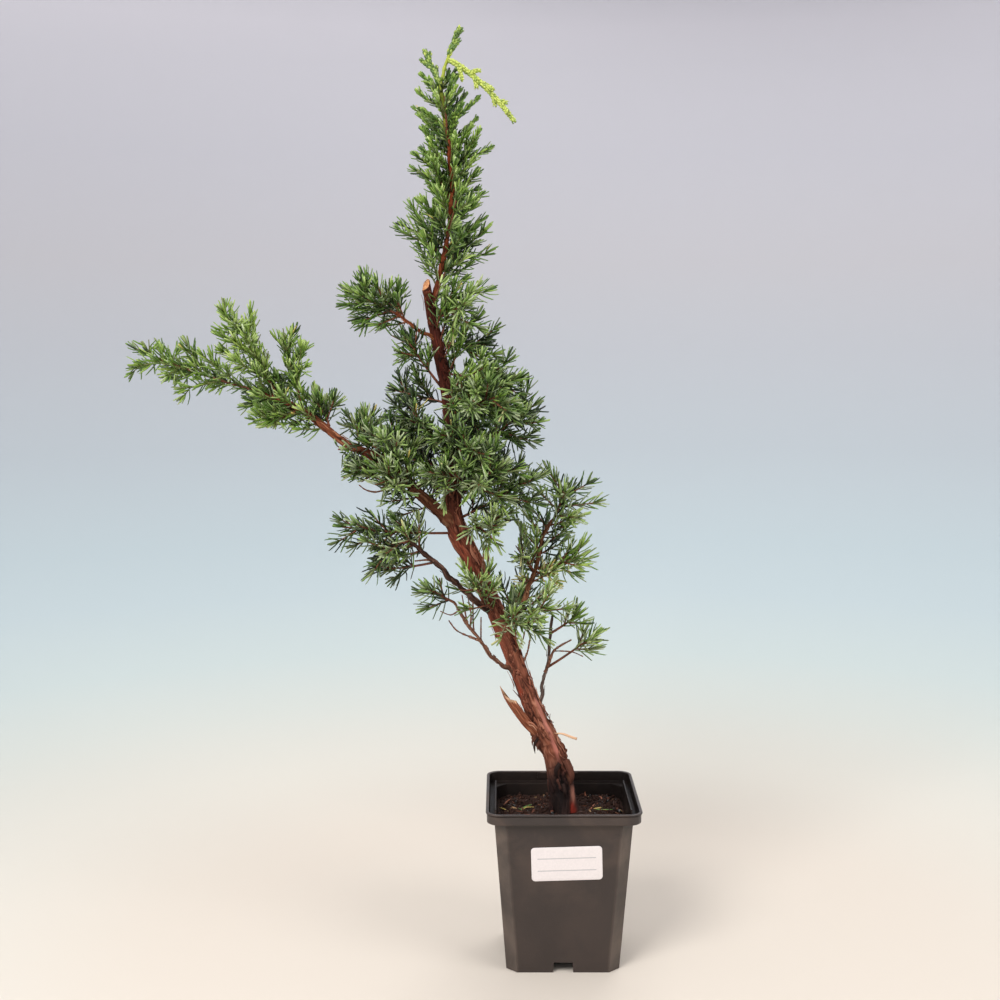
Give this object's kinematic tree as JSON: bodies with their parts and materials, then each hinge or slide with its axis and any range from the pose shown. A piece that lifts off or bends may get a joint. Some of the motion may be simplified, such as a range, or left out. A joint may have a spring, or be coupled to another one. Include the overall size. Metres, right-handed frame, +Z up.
{
  "type": "kishu juniper bonsai in a square nursery pot",
  "caption": "Young upright juniper bonsai with needle foliage, leaning bark-covered trunk and long left bough, in a square black plastic nursery pot with a blank label.",
  "frame": {"origin": "centre of the pot's underside, at the middle of its centre foot", "axes": "+Z up; the pot's labelled front faces -Y; +X is to the right of the picture"},
  "size_m": [0.3654, 0.1188, 0.6693],
  "materials": {
    "pot_plastic": "dark grey-brown moulded plastic, satin, dusty",
    "soil": "damp dark peat with bark crumbs",
    "label": "blank white adhesive label",
    "bark": "fibrous peeling red-brown bark",
    "foliage": "matte green juvenile needles"
  },
  "bodies": {
    "root": {"apex_droop": "foliage", "apex_left": "foliage", "apex_top": "foliage", "bark_spur": "bark", "bough_back_spray": "foliage", "bough_low_spray": "foliage", "bough_top_spray": "foliage", "bough_under_spray": "foliage", "bough_up_spray": "foliage", "centre_back": "foliage", "centre_front": "foliage", "centre_right": "foliage", "column_1": "foliage", "column_2": "foliage", "column_3": "foliage", "column_4": "foliage", "column_5": "foliage", "column_6": "foliage", "column_7": "foliage", "column_8": "foliage", "inner_left_back": "foliage", "inner_left_front": "foliage", "label": "label", "leader": "bark", "left_twig_spray": "foliage", "long_back_spray": "foliage", "long_bough": "bark", "long_fork_spray": "foliage", "long_tip": "foliage", "long_twig_spray": "foliage", "long_under_spray": "foliage", "low_back": "foliage", "low_front_left": "foliage", "low_front_right": "foliage", "low_left_bough": "bark", "low_left_side": "foliage", "low_left_tip": "foliage", "lowest_twig": "bark", "lowest_twig_spray": "foliage", "mid_left_high": "foliage", "mid_left_low": "foliage", "mid_right_back": "foliage", "mid_right_front": "foliage", "pot": "pot_plastic", "right_bough": "bark", "right_bough_star": "foliage", "right_fork_spray": "foliage", "right_inner_spray": "foliage", "right_low_spray": "foliage", "right_star": "foliage", "right_twig": "bark", "right_twig_spray": "foliage", "soil": "soil", "trunk": "bark", "upper_left_bough": "bark", "upper_left_inner": "foliage", "upper_left_spray": "foliage", "upper_right_high": "foliage", "upper_right_low": "foliage", "upper_right_mid": "foliage"}
  },
  "joints": []
}
